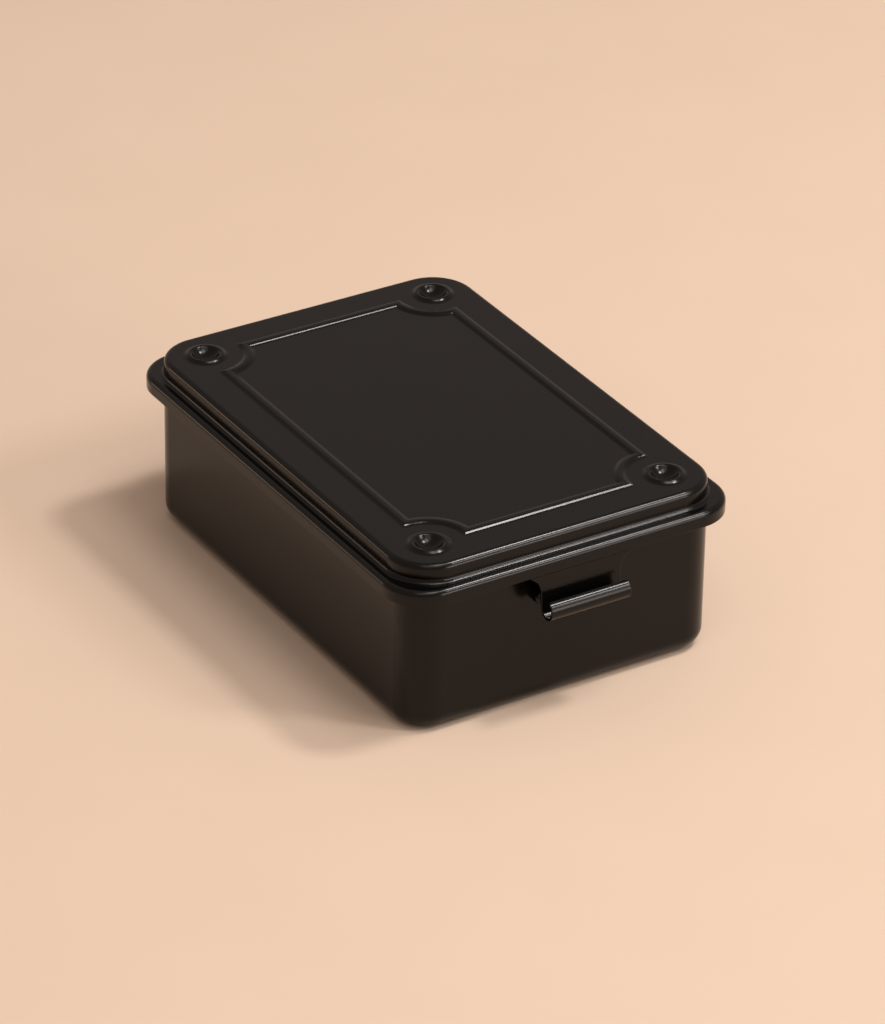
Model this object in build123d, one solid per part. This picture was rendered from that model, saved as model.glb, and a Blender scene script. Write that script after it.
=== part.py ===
"""Small pressed-steel storage box with a hinged lid and a sprung front tab.

Millimetres. X across the box, +Y towards the hinge, -Y towards the latch,
+Z up. The origin is the centre of the underside.
"""
from build123d import *
import os
from math import acos, cos, radians, sin, sqrt, tan

os.makedirs("parts", exist_ok=True)

# Sheet and overall size
sheet = 0.7              # steel sheet of every pressing
cut_round = 0.15         # sheared edges that show are rounded this much
lid_width = 105.0        # across the outer faces of the lid's skirt
lid_length = 149.5
plate_top = 51.4         # height of the lid's raised plate, closed

# Lid pressing
flange_corner = 12.3     # plan radius of the skirt's outer face
flange_width = 3.6       # from the skirt's outer face in to the raised wall
flange_round = 1.6       # outer radius where the flange turns down
plate_rise = 5.35        # from the flange's top to the plate
plate_corner = 12.4      # plan radius of the raised wall
plate_round = 1.7        # outer radius at the plate's edge
foot_fillet = 1.2        # radius where the raised wall meets the flange
skirt_height = 4.35      # from the flange's top to the skirt's lower edge

# Frame bead pressed up out of the plate
bead_height = 0.6
bead_slope = 40.0        # steepest slope of its sides, degrees
bead_crest = 0.7         # width of its flat crest
bead_half_x = 36.6       # centreline, from the middle of the lid
bead_half_y = 59.1
bead_corner = 12.0       # its corners curve round the dimples at this radius

# Four stacking dimples: a raised ring round a dish
dimple_x = 36.85
dimple_y = 59.7
ring_foot = 6.4          # radius at which the ring leaves the plate
ring_height = 0.75
ring_crest_round = 0.95
ring_foot_round = 1.75
dish_slope = 52.0        # slope of the dish where it meets the ring, degrees

# Drawn body
wall_inset = 4.37        # from the skirt's outer face in to the body's wall
body_corner = 9.4        # plan radius of the wall's outer face
base_round = 5.2         # outer radius between the wall and the base
rim_roll = 1.6           # outer radius of the rim, rolled outwards
rim_turn = 230.0         # how far the rim is rolled, degrees
seat_gap = 0.25          # between the rolled rim and the flange above it

# Latch tab, one sheet with the skirt above it
tab_offset = 1.15        # the tab sits this far off the middle, as pictured
tab_width = 24.9
tab_flare = 5.2          # radius where the tab widens into the skirt
flare_edge = 22.0        # the flare meets the skirt's edge at this angle, degrees
crease_round = 1.2       # middle radius of the crease at the skirt's edge
tab_lean = 3.0           # from the crease down the neck leans out, degrees
neck_drop = 9.2          # flat neck, from the crease to the roll
grip_round = 2.6         # middle radius of the grip roll
grip_turn = 222.0        # degrees
lip_round = 1.7          # the roll tightens to this middle radius at its lip
lip_turn = 50.0          # degrees
lip_corner = 1.0         # rounded corners at the lip's two ends
tab_edge_round = 0.28    # its edges are dressed nearly full round for the finger

# Catch pressed out of the body's front wall, a little longer than the tab
catch_length = 26.4
catch_height = 3.8
catch_level = 34.0       # height of its middle
catch_round = 1.5
catch_gap = 0.15         # between its nose and the neck that springs against it

# Hinge
pin_radius = 1.0
pin_gap = 0.05           # running clearance in the knuckles
pin_head = 1.45          # radius of its peened ends
pin_head_long = 0.7
tongue_drop = 2.0        # from the skirt's edge down to the hinge axis
tongue_width = 10.0      # each of the lid's two knuckles
tongue_turn = 275.0      # degrees
knuckle_gap = 0.3        # between neighbouring knuckles, along the pin
leaf_knuckle = 26.0      # the leaf's single knuckle
leaf_turn = 280.0        # degrees
leaf_width = 40.0
leaf_foot = 22.0         # height of the leaf's lower edge
leaf_crank = 45.0        # degrees, the leaf leans out to the pin
leaf_bend = 1.5          # middle radius of that bend
leaf_corner = 3.0
weld_across = 14.0       # spot welds, from the middle
weld_mark = 1.5          # radius of each mark
weld_depth = 0.15

# Levels and faces that follow from the sizes above
flange_top = plate_top - plate_rise
skirt_edge = flange_top - skirt_height
skirt_y = lid_length / 2
wall_y = skirt_y - wall_inset
body_width = lid_width - 2 * wall_inset
body_length = lid_length - 2 * wall_inset
rim_top = flange_top - sheet - seat_gap
roll_level = rim_top - rim_roll
knuckle_middle = pin_radius + pin_gap + sheet / 2
axis_y = skirt_y - sheet / 2 + knuckle_middle
axis_z = skirt_edge - tongue_drop
flare_drop = tab_flare * (1 - cos(radians(flare_edge)))
catch_nose = -skirt_y + sheet - (skirt_edge - catch_level) * tan(radians(tab_lean)) + catch_gap
overcut = 1.0            # how far a cutting tool runs past what it cuts


def slab(width, length, corner, low, high):
    """A rounded rectangle raised from one level to another."""
    return Pos(0, 0, low) * extrude(RectangleRounded(width, length, corner), high - low)


def at_level(solid, level):
    """The edges of a solid that lie flat at one height."""
    return [e for e in solid.edges()
            if abs(e.bounding_box().min.Z - level) < 1e-4
            and abs(e.bounding_box().max.Z - level) < 1e-4]


def bent_strip(start, heading, moves, thick=sheet):
    """The edge-on section of a strip of sheet.

    start is a point on the sheet's middle line and heading its direction in
    degrees. Each move is a straight length, or a (middle radius, turn) pair,
    where a positive turn is to the left.
    """
    (u, v), angle, half = start, heading, thick / 2

    def side(offset):
        return (u - offset * sin(radians(angle)), v + offset * cos(radians(angle)))

    left, right = [], []
    first = (side(half), side(-half))
    for move in moves:
        a = (side(half), side(-half))
        if isinstance(move, tuple):
            radius, turn = move
            hand = 1 if turn > 0 else -1
            cu = u - hand * radius * sin(radians(angle))
            cv = v + hand * radius * cos(radians(angle))
            middle = []
            for part in (0.5, 1.0):
                heading_there = radians(angle + turn * part)
                middle.append((cu + hand * radius * sin(heading_there),
                               cv - hand * radius * cos(heading_there), angle + turn * part))
            (u, v, angle) = middle[0]
            m = (side(half), side(-half))
            (u, v, angle) = middle[1]
            b = (side(half), side(-half))
            left.append(ThreePointArc(a[0], m[0], b[0]))
            right.append(ThreePointArc(a[1], m[1], b[1]))
        else:
            u += move * cos(radians(angle))
            v += move * sin(radians(angle))
            b = (side(half), side(-half))
            left.append(Line(a[0], b[0]))
            right.append(Line(a[1], b[1]))
    ends = [Line(first[0], first[1]), Line(b[0], b[1])]
    return make_face([c.edge() for c in left + right + ends])


def across(face, width, middle=0.0):
    """Extrude a (Y, Z) section along X, centred on one X."""
    plane = Plane(origin=(middle - width / 2, 0, 0), x_dir=(0, 1, 0), z_dir=(1, 0, 0))
    return extrude(plane * face, width, dir=(1, 0, 0))


def bead_path():
    """Centreline of the frame bead: four sides and four inward corner arcs."""
    end_x = dimple_x - sqrt(bead_corner ** 2 - (bead_half_y - dimple_y) ** 2)
    end_y = dimple_y - sqrt(bead_corner ** 2 - (bead_half_x - dimple_x) ** 2)
    mid = bead_corner * sqrt(0.5)

    def corner(sx, sy):
        return [(sx * end_x, sy * bead_half_y), (sx * (dimple_x - mid), sy * (dimple_y - mid)),
                (sx * bead_half_x, sy * end_y)]

    return Wire([
        Line((-end_x, -bead_half_y), (end_x, -bead_half_y)), ThreePointArc(*corner(1, -1)),
        Line((bead_half_x, -end_y), (bead_half_x, end_y)), ThreePointArc(*corner(1, 1)[::-1]),
        Line((end_x, bead_half_y), (-end_x, bead_half_y)), ThreePointArc(*corner(-1, 1)),
        Line((-bead_half_x, end_y), (-bead_half_x, -end_y)), ThreePointArc(*corner(-1, -1)[::-1])])


def bead_section():
    """Flat crest with a rounded shoulder and foot on each side."""
    slope = radians(bead_slope)
    radius = bead_height / (2 * (1 - cos(slope)))
    step, half_step = radius * sin(slope), radius * sin(slope / 2)
    low, dip = bead_height / 2, radius * (1 - cos(slope / 2))
    crest, foot = bead_crest / 2, bead_crest / 2 + 2 * step
    curves = [Line((-crest, bead_height), (crest, bead_height))]
    for s in (-1, 1):
        curves += [
            ThreePointArc((s * crest, bead_height), (s * (crest + half_step), bead_height - dip),
                          (s * (crest + step), low)),
            ThreePointArc((s * (crest + step), low), (s * (foot - half_step), dip), (s * foot, 0)),
            Line((s * foot, 0), (s * foot, -sheet / 2))]
    curves.append(Line((-foot, -sheet / 2), (foot, -sheet / 2)))
    return make_face([c.edge() for c in curves])


def bead():
    """The frame bead as a ridge standing on level zero."""
    path = bead_path()
    plane = Plane(origin=path @ 0, x_dir=(0, 1, 0), z_dir=(1, 0, 0))
    return sweep(plane * bead_section(), path=path, transition=Transition.RIGHT)


def dimple(depth):
    """A dimple's surface over a plug that reaches a depth below the plate."""
    out = acos(1 - ring_height / (ring_crest_round + ring_foot_round))
    crest_r = ring_foot - (ring_crest_round + ring_foot_round) * sin(out)
    slope = radians(dish_slope)
    dish_r = crest_r - ring_crest_round * sin(slope)
    dish_z = ring_height - ring_crest_round * (1 - cos(slope))
    bowl = dish_r / sin(slope)
    bowl_z = dish_z - bowl * (1 - cos(slope))
    turn_r = crest_r + ring_crest_round * sin(out)
    turn_z = ring_height - ring_crest_round * (1 - cos(out))
    section = make_face([c.edge() for c in (
        ThreePointArc((0, bowl_z),
                      (bowl * sin(slope / 2), bowl_z + bowl * (1 - cos(slope / 2))), (dish_r, dish_z)),
        ThreePointArc((dish_r, dish_z), (crest_r, ring_height), (turn_r, turn_z)),
        ThreePointArc((turn_r, turn_z),
                      (ring_foot - ring_foot_round * sin(out / 2),
                       ring_foot_round * (1 - cos(out / 2))), (ring_foot, 0)),
        Polyline((ring_foot, 0), (ring_foot, -depth), (0, -depth), (0, bowl_z))) for c in c.edges()])
    return revolve(Plane.XZ * section, axis=Axis.Z)


def lid_face(inward, low):
    """The lid's form, bounded by its outer face or, a sheet inward, by its inner one."""
    skirt = slab(lid_width - 2 * inward, lid_length - 2 * inward, flange_corner - inward,
                 low, flange_top - inward)
    skirt = fillet(at_level(skirt, flange_top - inward), flange_round - inward)
    raised_width = lid_width - 2 * flange_width - 2 * inward
    raised_length = lid_length - 2 * flange_width - 2 * inward
    raised = slab(raised_width, raised_length, plate_corner - inward,
                  low, plate_top - inward)
    raised = fillet(at_level(raised, plate_top - inward), plate_round - inward)
    form = skirt + raised
    foot = [e for e in at_level(form, flange_top - inward)
            if abs(e.center().X) < raised_width / 2 + 0.01 and abs(e.center().Y) < raised_length / 2 + 0.01]
    form = fillet(foot, foot_fillet + inward)
    form += Pos(0, 0, plate_top - inward) * bead()
    depth = ring_foot
    for sx in (-1, 1):
        for sy in (-1, 1):
            here = Pos(sx * dimple_x, sy * dimple_y, plate_top - inward)
            form -= here * Pos(0, 0, -depth / 2) * Cylinder(ring_foot, depth)
            form += here * dimple(depth)
    return form


def lid_tongue(middle):
    """A tongue of the rear skirt, rolled outwards round the pin."""
    section = bent_strip((skirt_y - sheet / 2, skirt_edge), -90,
                         [tongue_drop, (knuckle_middle, tongue_turn)])
    return across(section, tongue_width, middle)


def make_lid():
    """The lid pressing, its skirt's edge dressed, with the hinge tongues."""
    lid = lid_face(0, skirt_edge) - lid_face(sheet, skirt_edge - overcut)
    lid = fillet([e for e in at_level(lid, skirt_edge) if on_the_outside(e)], cut_round)
    reach = leaf_knuckle / 2 + knuckle_gap + tongue_width / 2
    for side in (-1, 1):
        lid += lid_tongue(side * reach)
    return lid


def on_the_outside(edge):
    """Whether an edge of the lid reaches the outer faces of its skirt."""
    low, high = edge.bounding_box().min, edge.bounding_box().max
    return (max(high.X, -low.X) > lid_width / 2 - sheet / 2
            or max(high.Y, -low.Y) > lid_length / 2 - sheet / 2)


def flare_waste(side):
    """What the blanking tool takes away beside the tab's neck."""
    mid = radians((90 + flare_edge) / 2)
    neck = tab_offset + side * tab_width / 2
    outer = neck + side * tab_flare * (1 - sin(radians(flare_edge)))
    arc = ThreePointArc(
        (neck, skirt_edge - tab_flare),
        (neck + side * tab_flare * (1 - sin(mid)), skirt_edge - tab_flare * (1 - cos(mid))),
        (outer, skirt_edge - flare_drop))
    beyond = Polyline(
        (outer, skirt_edge - flare_drop), (outer, skirt_edge + overcut),
        (outer + side * tab_flare, skirt_edge + overcut), (outer + side * tab_flare, 0),
        (neck, 0), (neck, skirt_edge - tab_flare))
    waste = make_face([arc.edge()] + beyond.edges())
    reach = 4 * grip_round
    plane = Plane(origin=(0, -skirt_y - reach, 0), x_dir=(1, 0, 0), z_dir=(0, -1, 0))
    return extrude(plane * waste, 2 * reach, dir=(0, 1, 0))


def make_tab():
    """The front tab: a flared neck that leans out and an open grip roll."""
    moves = [(crease_round, -tab_lean), neck_drop, (grip_round, -grip_turn), (lip_round, -lip_turn)]
    section = bent_strip((-(skirt_y - sheet / 2), skirt_edge), -90, moves)
    tab = across(section, tab_width + 2 * tab_flare, tab_offset)
    for side in (-1, 1):
        tab -= flare_waste(side)
    # The free end of the strip lies on top of the roll
    ends = [e for e in tab.edges() if abs(e.length - sheet) < 1e-4
            and e.center().Z < skirt_edge - neck_drop / 2]
    tab = fillet(ends, lip_corner)
    rims = [e for e in tab.edges() if on_a_cut(e)]
    return fillet(rims, min(tab_edge_round, 0.4 * sheet, 0.75 * flare_drop))


def on_a_cut(edge):
    """Whether an edge runs along the sheared outline of the tab."""
    box = edge.bounding_box()
    if box.size.X > edge.length - 1e-4:
        return abs(edge.length - (tab_width - 2 * lip_corner)) < 1e-4
    short = edge.geom_type == GeomType.LINE and edge.length < neck_drop / 4
    return not short and edge.length > 1.01 * sheet and box.max.Z < skirt_edge - 1e-4


def catch_form(inward):
    """A stadium-shaped boss on the front wall, outer or inner face."""
    nose = catch_nose + inward
    root = -wall_y + sheet + inward
    plane = Plane(origin=(tab_offset, root, catch_level), x_dir=(1, 0, 0), z_dir=(0, -1, 0))
    outline = SlotOverall(catch_length - 2 * inward, catch_height - 2 * inward)
    boss = extrude(plane * outline, root - nose)
    tip = [e for e in boss.edges() if abs(e.center().Y - nose) < 1e-4]
    return fillet(tip, catch_round - inward)


def make_body():
    """The drawn tub with its rolled rim and the catch."""
    tub = slab(body_width, body_length, body_corner, 0, roll_level)
    tub = fillet(at_level(tub, 0), base_round)
    inside = slab(body_width - 2 * sheet, body_length - 2 * sheet, body_corner - sheet,
                  sheet, roll_level + overcut)
    inside = fillet(at_level(inside, sheet), base_round - sheet)
    tub -= inside
    tub += catch_form(0)
    tub -= catch_form(sheet)
    middle_w, middle_l = body_width - sheet, body_length - sheet
    path = Pos(0, 0, roll_level) * RectangleRounded(middle_w, middle_l, body_corner - sheet / 2).wire()
    roll = bent_strip((0, 0), 90, [(rim_roll - sheet / 2, -rim_turn)])
    start, along = path @ 0, path % 0
    outward = along.cross(Vector(0, 0, 1))
    if outward.dot(start) < 0:
        outward = -outward
    plane = Plane(origin=start, x_dir=outward, z_dir=outward.cross(Vector(0, 0, 1)))
    return tub + sweep(plane * roll, path=path)


def make_leaf():
    """The hinge leaf: welded plate, cranked out and rolled round the pin."""
    lean = radians(90 - leaf_crank)
    touch_y = axis_y + knuckle_middle * sin(lean)
    touch_z = axis_z - knuckle_middle * cos(lean)
    bend_y = wall_y + sheet / 2 + leaf_bend * (1 - cos(radians(leaf_crank)))
    slope_run = (touch_y - bend_y) / cos(lean)
    bend_z = touch_z - slope_run * sin(lean) - leaf_bend * sin(radians(leaf_crank))
    section = bent_strip((wall_y + sheet / 2, leaf_foot), 90,
                         [bend_z - leaf_foot, (leaf_bend, -leaf_crank), slope_run,
                          (knuckle_middle, leaf_turn)])
    leaf = across(section, leaf_width)
    top = axis_z + 2 * knuckle_middle
    ear = (leaf_width - leaf_knuckle) / 2
    for side in (-1, 1):
        x = side * (leaf_knuckle / 2 + ear)
        leaf -= Pos(x, axis_y, (bend_z + top) / 2) * Box(2 * ear, 4 * wall_inset, top - bend_z)
    lower = [e for e in leaf.edges().filter_by(Axis.Y)
             if abs(e.center().Z - leaf_foot) < 1e-4]
    leaf = fillet(lower, leaf_corner)
    ball = (weld_mark ** 2 + weld_depth ** 2) / (2 * weld_depth)
    for level in (leaf_foot + leaf_corner, bend_z - leaf_corner / 2):
        for x in (-weld_across, weld_across):
            leaf -= Pos(x, wall_y + sheet + ball - weld_depth, level) * Sphere(ball)
    return leaf


def make_pin():
    """Wire pin, peened over at both ends."""
    half = leaf_knuckle / 2 + knuckle_gap + tongue_width + knuckle_gap
    outline = make_face([c.edge() for c in (
        Line((0, -half - pin_head_long), (0, half + pin_head_long)),
        Line((0, half + pin_head_long), (pin_head / 2, half + pin_head_long)),
        RadiusArc((pin_head / 2, half + pin_head_long), (pin_head, half), pin_head),
        Line((pin_head, half), (pin_radius, half)),
        Line((pin_radius, half), (pin_radius, -half)),
        Line((pin_radius, -half), (pin_head, -half)),
        RadiusArc((pin_head, -half), (pin_head / 2, -half - pin_head_long), pin_head),
        Line((pin_head / 2, -half - pin_head_long), (0, -half - pin_head_long)))])
    turned = revolve(outline, axis=Axis.Y)
    return Pos(0, axis_y, axis_z) * Rot(0, 0, 90) * turned


parts = {
    "body_shell": make_body(),
    "lid_shell": make_lid(),
    "latch_tab": make_tab(),
    "hinge_leaf": make_leaf(),
    "hinge_pin": make_pin(),
}
for name, solid in parts.items():
    export_step(solid, "parts/%s.step" % name)
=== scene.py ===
# %% [markdown]
# # A small pressed-steel storage box, photographed on peach paper
#
# The object is a lidded box of thin steel sheet: a drawn tub, a pressed lid with a spring tab, and a hinge of a leaf
# and a pin. All of it is hard metal, so the CAD model settles the shapes, and no piece is modelled again here. This
# script is about what black enamel needs: a finish with a little life in it, and a studio that gives it something to
# reflect. A black object shows its form almost only by its reflections, so the lamps are placed as carefully as a
# piece of the model would be.

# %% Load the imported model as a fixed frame
import bpy
import bmesh
from math import cos, pi, radians, sin, tan
from mathutils import Matrix, Vector


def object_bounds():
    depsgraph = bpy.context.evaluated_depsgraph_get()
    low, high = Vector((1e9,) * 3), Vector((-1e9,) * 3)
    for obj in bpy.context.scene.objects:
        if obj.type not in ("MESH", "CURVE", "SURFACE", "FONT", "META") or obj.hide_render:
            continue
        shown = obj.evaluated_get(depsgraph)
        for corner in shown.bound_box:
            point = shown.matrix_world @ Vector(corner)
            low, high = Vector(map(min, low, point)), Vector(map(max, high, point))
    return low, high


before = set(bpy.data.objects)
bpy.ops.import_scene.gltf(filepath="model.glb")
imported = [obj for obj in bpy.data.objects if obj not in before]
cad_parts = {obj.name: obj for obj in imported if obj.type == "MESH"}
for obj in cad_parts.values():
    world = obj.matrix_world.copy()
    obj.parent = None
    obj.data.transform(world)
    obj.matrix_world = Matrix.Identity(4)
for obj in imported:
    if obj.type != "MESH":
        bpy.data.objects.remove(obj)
cad_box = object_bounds()
MM = 0.001                          # Blender works in metres here. Small sizes are given in millimetres
box_low, box_high = (corner / MM for corner in cad_box)
print("nodes", sorted(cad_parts))
print("box from", [round(v, 2) for v in box_low], "to", [round(v, 2) for v in box_high], "mm")

# %% [markdown]
# ## Colours and nodes
#
# Colours are picked as sRGB hex values, the way a paint chart gives them, but shaders work in linear light. One
# function does the conversion. Another adds a shader node, sets its sockets and links it, so that a material reads
# as a list of what it is made of. The alternative is many lines of `links.new`, which hide the recipe.

# %% Helpers: a colour from hex, and a node with its settings
# A Mix node has an A, a B and a Result for each kind of value, all under the same names, so the ones for colours are
# taken by number.
MIX_FACTOR, MIX_A, MIX_B, MIX_RESULT = 0, 6, 7, 2


def linear(hex_colour):
    """An sRGB hex colour such as "dcc6b2" as linear red, green, blue and alpha."""
    channels = [int(hex_colour[i:i + 2], 16) / 255 for i in (0, 2, 4)]
    light = [c / 12.92 if c <= 0.04045 else ((c + 0.055) / 1.055) ** 2.4 for c in channels]
    return (*light, 1.0)


def add_node(tree, kind, sockets=None, **settings):
    """Adds a node. A socket's value is a plain value, or another node's output to link from."""
    node = tree.nodes.new("ShaderNode" + kind)
    for name, value in settings.items():
        setattr(node, name, value)
    for name, value in (sockets or {}).items():
        if isinstance(value, bpy.types.NodeSocket):
            tree.links.new(value, node.inputs[name])
        else:
            node.inputs[name].default_value = value
    return node


def new_material(name):
    """A material with only its output node, its node tree and that node."""
    material = bpy.data.materials.new(name)
    material.use_nodes = True
    material.node_tree.nodes.clear()
    output = material.node_tree.nodes.new("ShaderNodeOutputMaterial")
    return material, material.node_tree, output


print("mid grey 808080 is", round(linear("808080")[0], 3), "in linear light")

# %% [markdown]
# ## Satin black baked enamel on drawn steel
#
# The box is sprayed with enamel and baked, so the steel itself never shows and the metal shader isn't needed: the
# surface is a dielectric film with a nearly black body colour. A satin enamel has matting grains in it. They give it
# a roughness near 0.2, and they take away about half of the mirror-like reflection, so the specular level is lower
# than a gloss paint's 0.5. The grains are about 0.03 mm, too fine to show here, so they are drawn ten times coarser,
# as a faint speckle in the roughness. Sprayed films dry with orange peel, gentle waves a millimetre or two across,
# and those go in as bump. They are kept far below a thousandth of a millimetre high, because the highlights in the
# photograph run straight and clean, and any more bump breaks them up. A slow cloud over a few centimetres varies
# the roughness and the colour a little, as spray passes do. A plain black with one roughness would look like plastic.

# %% The enamel material
ENAMEL_BLACK = "050505"
ENAMEL_BROWNER = "080706"           # where the film is thinner it looks a little warmer
ENAMEL_IOR = 1.5
ENAMEL_SPECULAR = 0.25              # half of a gloss paint's, for the grains scatter the rest
ENAMEL_ROUGHNESS = (0.17, 0.21)     # where the film is smoothest and roughest
SPRAY_CLOUD = 28 * MM
GRAIN = 0.33 * MM                   # drawn ten times its real size
GRAIN_SHARE = 0.15                  # of the roughness pattern, the clouds being the rest
NOISE_LOW, NOISE_HIGH = 0.3, 0.7    # nearly all of a noise texture's values lie between these
ORANGE_PEEL = 1.5 * MM              # width of one wave
PEEL_HEIGHT = 0.00015 * MM


def baked_enamel():
    """Satin black baked enamel."""
    material, tree, output = new_material("satin black baked enamel on drawn steel")
    place = add_node(tree, "TexCoord").outputs["Object"]
    cloud = add_node(tree, "TexNoise", {"Vector": place, "Scale": 1 / SPRAY_CLOUD, "Detail": 3.0})
    peel = add_node(tree, "TexNoise", {"Vector": place, "Scale": 1 / ORANGE_PEEL, "Detail": 1.0})
    grain = add_node(tree, "TexNoise", {"Vector": place, "Scale": 1 / GRAIN, "Detail": 2.0})
    colour = add_node(tree, "Mix", {
        MIX_FACTOR: cloud.outputs["Fac"], MIX_A: linear(ENAMEL_BLACK), MIX_B: linear(ENAMEL_BROWNER)},
        data_type="RGBA")
    speckle = add_node(tree, "Mix", {
        "Factor": GRAIN_SHARE, "A": cloud.outputs["Fac"], "B": grain.outputs["Fac"]})
    rough = add_node(tree, "MapRange", {
        "Value": speckle.outputs["Result"], "From Min": NOISE_LOW, "From Max": NOISE_HIGH,
        "To Min": ENAMEL_ROUGHNESS[0], "To Max": ENAMEL_ROUGHNESS[1]})
    waves = add_node(tree, "Bump", {"Height": peel.outputs["Fac"], "Distance": PEEL_HEIGHT, "Strength": 1.0})
    shader = add_node(tree, "BsdfPrincipled", {
        "Base Color": colour.outputs[MIX_RESULT], "Roughness": rough.outputs["Result"],
        "IOR": ENAMEL_IOR, "Specular IOR Level": ENAMEL_SPECULAR, "Normal": waves.outputs["Normal"]})
    tree.links.new(shader.outputs["BSDF"], output.inputs["Surface"])
    return material


enamel = baked_enamel()
for name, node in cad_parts.items():
    node.data.materials.clear()
    node.data.materials.append(enamel)
print("enamel on", len(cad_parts), "pieces")

# %% [markdown]
# ## The paper floor
#
# The box stands on a wide sheet of peach paper. A studio sweep curves up behind the object, but the photograph shows
# no horizon, so one large flat disc is enough, and it has no corners to catch the eye from other angles. The paper is
# uncoated and matt. Its fibres give it a faint mottle, and a slight tooth that goes in as bump.

# %% Floor
PAPER_PEACH = "dcc6b2"
PAPER_SHADE = "d8c2ad"
PAPER_ROUGHNESS = 0.85
PAPER_SPECULAR = 0.2
PAPER_MOTTLE = 45 * MM
PAPER_TOOTH = 0.6 * MM
TOOTH_HEIGHT = 0.02 * MM
TOOTH_STRENGTH = 0.5
FLOOR_RADIUS = 6.0                  # metres, well past every lamp
FLOOR_SIDES = 96


def paper():
    """Uncoated peach studio paper."""
    material, tree, output = new_material("uncoated peach paper")
    place = add_node(tree, "TexCoord").outputs["Object"]
    mottle = add_node(tree, "TexNoise", {"Vector": place, "Scale": 1 / PAPER_MOTTLE, "Detail": 4.0})
    tooth = add_node(tree, "TexNoise", {"Vector": place, "Scale": 1 / PAPER_TOOTH, "Detail": 2.0})
    colour = add_node(tree, "Mix", {
        MIX_FACTOR: mottle.outputs["Fac"], MIX_A: linear(PAPER_PEACH), MIX_B: linear(PAPER_SHADE)},
        data_type="RGBA")
    bump = add_node(tree, "Bump", {
        "Height": tooth.outputs["Fac"], "Distance": TOOTH_HEIGHT, "Strength": TOOTH_STRENGTH})
    shader = add_node(tree, "BsdfPrincipled", {
        "Base Color": colour.outputs[MIX_RESULT], "Roughness": PAPER_ROUGHNESS,
        "Specular IOR Level": PAPER_SPECULAR, "Normal": bump.outputs["Normal"]})
    tree.links.new(shader.outputs["BSDF"], output.inputs["Surface"])
    return material


def make_floor():
    """A flat disc at the level of the box's underside."""
    mesh = bpy.data.meshes.new("paper_floor")
    disc = bmesh.new()
    bmesh.ops.create_circle(disc, cap_ends=True, segments=FLOOR_SIDES, radius=FLOOR_RADIUS)
    disc.to_mesh(mesh)
    disc.free()
    floor = bpy.data.objects.new("paper_floor", mesh)
    bpy.context.scene.collection.objects.link(floor)
    mesh.materials.append(paper())
    return floor


floor = make_floor()
print(floor.name, [round(size, 2) for size in floor.dimensions], "m")

# %% [markdown]
# ## The room
#
# The world stands for the rest of the studio, walls and a ceiling that return a little of the lamps' light. The lid's
# plate mirrors the part of it behind the box, so the room's strength sets how dark the plate looks, and it fills the
# shadows on the paper too. One even colour is enough. A picture of a room is the usual way to light metal, but it
# would put detail on the plate that the photograph doesn't show.

# %% World
ROOM_COLOUR = "ffebde"
ROOM_STRENGTH = 0.42


def make_room():
    """Even, dim, warm light from all round."""
    world = bpy.data.worlds.new("studio room")
    world.use_nodes = True
    background = world.node_tree.nodes["Background"]
    background.inputs["Color"].default_value = linear(ROOM_COLOUR)
    background.inputs["Strength"].default_value = ROOM_STRENGTH
    bpy.context.scene.world = world
    return world


print(make_room().name, "at strength", ROOM_STRENGTH)

# %% [markdown]
# ## The lamps
#
# On black enamel the eye sees mostly the lamps, mirrored in the rounded edges. Where an edge has a bright line, its
# surface faces halfway between the camera and a lamp. Going along the edges of the photograph in this way tells
# where its lamps stood. A small, strong key is high up, to the right of the camera. It draws the fine lines on the
# bead, the rims and the dimples, and throws the shadow on the left. Lower lamps on the same side widen the lines
# into bands, a card close to the floor lights the front wall, a reflector and a wide fill soften the shadow, and a
# warm card far behind gives the left rim a thin glint.
#
# Each lamp is given by its direction, by the angle that it fills seen from the box, and by its radiance, because
# these are what a reflection shows. How far off it stands hardly shows in the enamel. It is far enough not to light
# one side of the paper much more than the other. Point lamps would be shorter to write, but they have no size, and
# satin enamel shows a lamp's size.

# %% Soft boxes
LAMP_WHITE = "fff8f3"
LAMP_WARM = "ffdcbc"


def soft_box(name, direction, distance, angles, radiance, colour=LAMP_WHITE):
    """A rectangular lamp that is aimed at the box and that the camera doesn't see.

    direction is its azimuth, counted from +X towards +Y, and its elevation. angles are the width and height that it
    fills, seen from the box. All four are in degrees, and distance is in metres.
    """
    azimuth, elevation = (radians(a) for a in direction)
    away = Vector((cos(azimuth) * cos(elevation), sin(azimuth) * cos(elevation), sin(elevation)))
    level = Vector((-sin(azimuth), cos(azimuth), 0))
    lamp = bpy.data.lights.new(name, "AREA")
    lamp.shape = "RECTANGLE"
    lamp.size = 2 * distance * tan(radians(angles[0]) / 2)
    lamp.size_y = 2 * distance * tan(radians(angles[1]) / 2)
    lamp.color = linear(colour)[:3]
    lamp.energy = radiance * pi * lamp.size * lamp.size_y      # watts
    fixture = bpy.data.objects.new(name, lamp)
    fixture.location = away * distance
    fixture.rotation_mode = "QUATERNION"
    fixture.rotation_quaternion = Matrix((level, away.cross(level), away)).transposed().to_quaternion()
    fixture.visible_camera = False
    bpy.context.scene.collection.objects.link(fixture)
    return fixture


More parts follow.
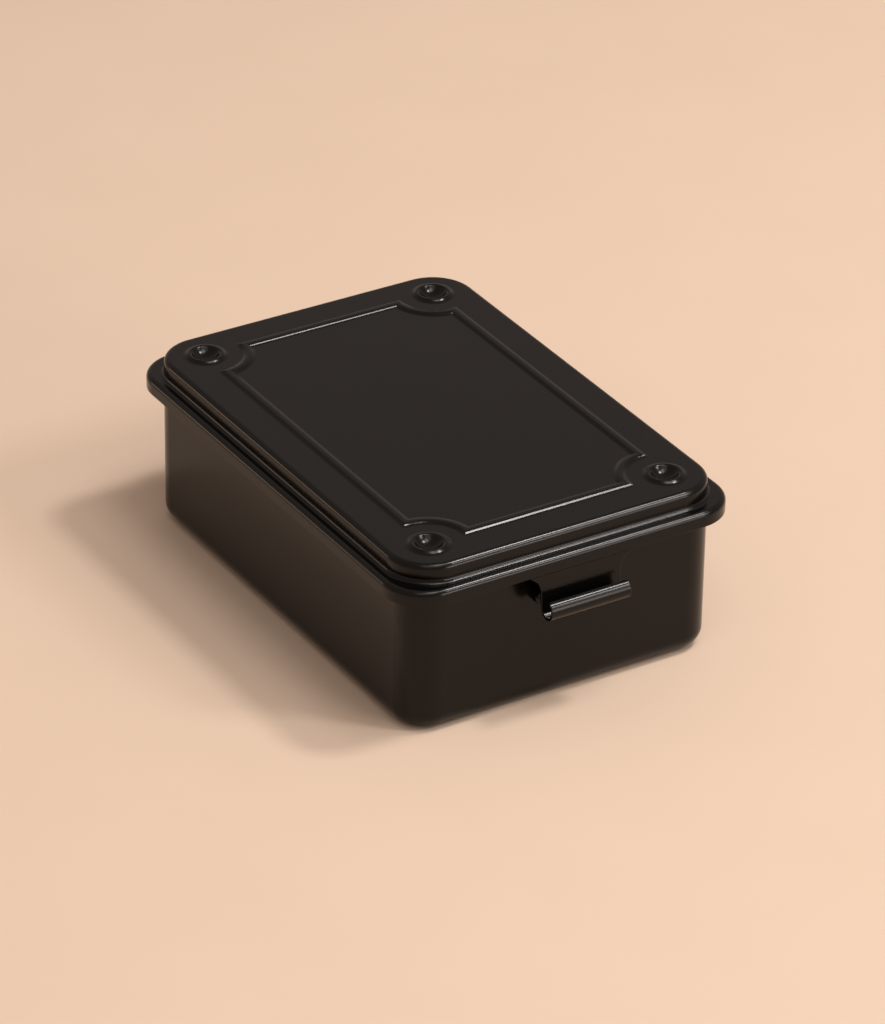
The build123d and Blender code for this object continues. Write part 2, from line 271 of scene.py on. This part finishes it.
lamps = [
    soft_box("key", (336, 62), 1.7, (8, 8), 57.0),
    soft_box("front soft box", (311, 40), 1.8, (9, 14), 21.0),
    soft_box("strip light", (304, 18), 2.2, (7, 26), 2.6),
    soft_box("low front card", (291, 10), 2.6, (16, 18), 7.0),
    soft_box("ceiling reflector", (295, 73), 1.8, (20, 20), 5.6),
    soft_box("front left fill", (250, 62), 1.8, (30, 30), 1.3),
    soft_box("warm card behind", (129, 5), 2.6, (14, 9), 3.5, LAMP_WARM),
]
for lamp in lamps:
    print(f"{lamp.name}: {lamp.data.size:.2f} x {lamp.data.size_y:.2f} m, {lamp.data.energy:.1f} W")

# %% [markdown]
# ## The camera
#
# The photograph is taken from the front left and 30 degrees up with a long lens, so the box's far edges are hardly
# shorter than its near ones. A lens and a place can be guessed until the picture looks right, but the box's corners
# and edges tell more: the numbers here come from fitting them to the photograph, and they hold to about a pixel.
# The lens's shift takes up that its axis doesn't meet the picture quite in the middle.

# %% Camera
PICTURE = (885, 1024)               # pixels, wide and high
CENTRE_PIXEL = (438.17, 510.20)     # where the lens's axis meets the picture
FOCAL_PIXELS = 5407.6
SENSOR = 36.0                       # millimetres along the picture's longer side
AIM = Vector((1.305, -2.445, 21.847)) * MM
STAND_OFF = 1.4862                  # metres from there to the lens
AZIMUTH = radians(-31.7785)         # from the box's front, to the left
ELEVATION = radians(30.0334)
ROLL = radians(0.9527)              # how far the picture leans clockwise
CLIP = (0.05, 50.0)                 # metres


def make_camera():
    """The photograph's camera."""
    back = Vector((sin(AZIMUTH) * cos(ELEVATION), -cos(AZIMUTH) * cos(ELEVATION), sin(ELEVATION)))
    level = Vector((cos(AZIMUTH), sin(AZIMUTH), 0))
    upright = back.cross(level)
    right = level * cos(ROLL) + upright * sin(ROLL)
    up = upright * cos(ROLL) - level * sin(ROLL)
    lens = bpy.data.cameras.new("camera")
    lens.sensor_width = SENSOR
    lens.lens = FOCAL_PIXELS * SENSOR / max(PICTURE)
    lens.shift_x = (PICTURE[0] / 2 - CENTRE_PIXEL[0]) / max(PICTURE)
    lens.shift_y = (CENTRE_PIXEL[1] - PICTURE[1] / 2) / max(PICTURE)
    lens.clip_start, lens.clip_end = CLIP
    camera = bpy.data.objects.new("camera", lens)
    turn = Matrix((right, up, back)).transposed().to_4x4()
    camera.matrix_world = Matrix.Translation(AIM + back * STAND_OFF) @ turn
    bpy.context.scene.collection.objects.link(camera)
    bpy.context.scene.camera = camera
    return camera


camera = make_camera()
bpy.context.scene.view_settings.view_transform = "Standard"
print(f"lens {camera.data.lens:.2f} mm, shift {camera.data.shift_x:.5f}, {camera.data.shift_y:.5f}")
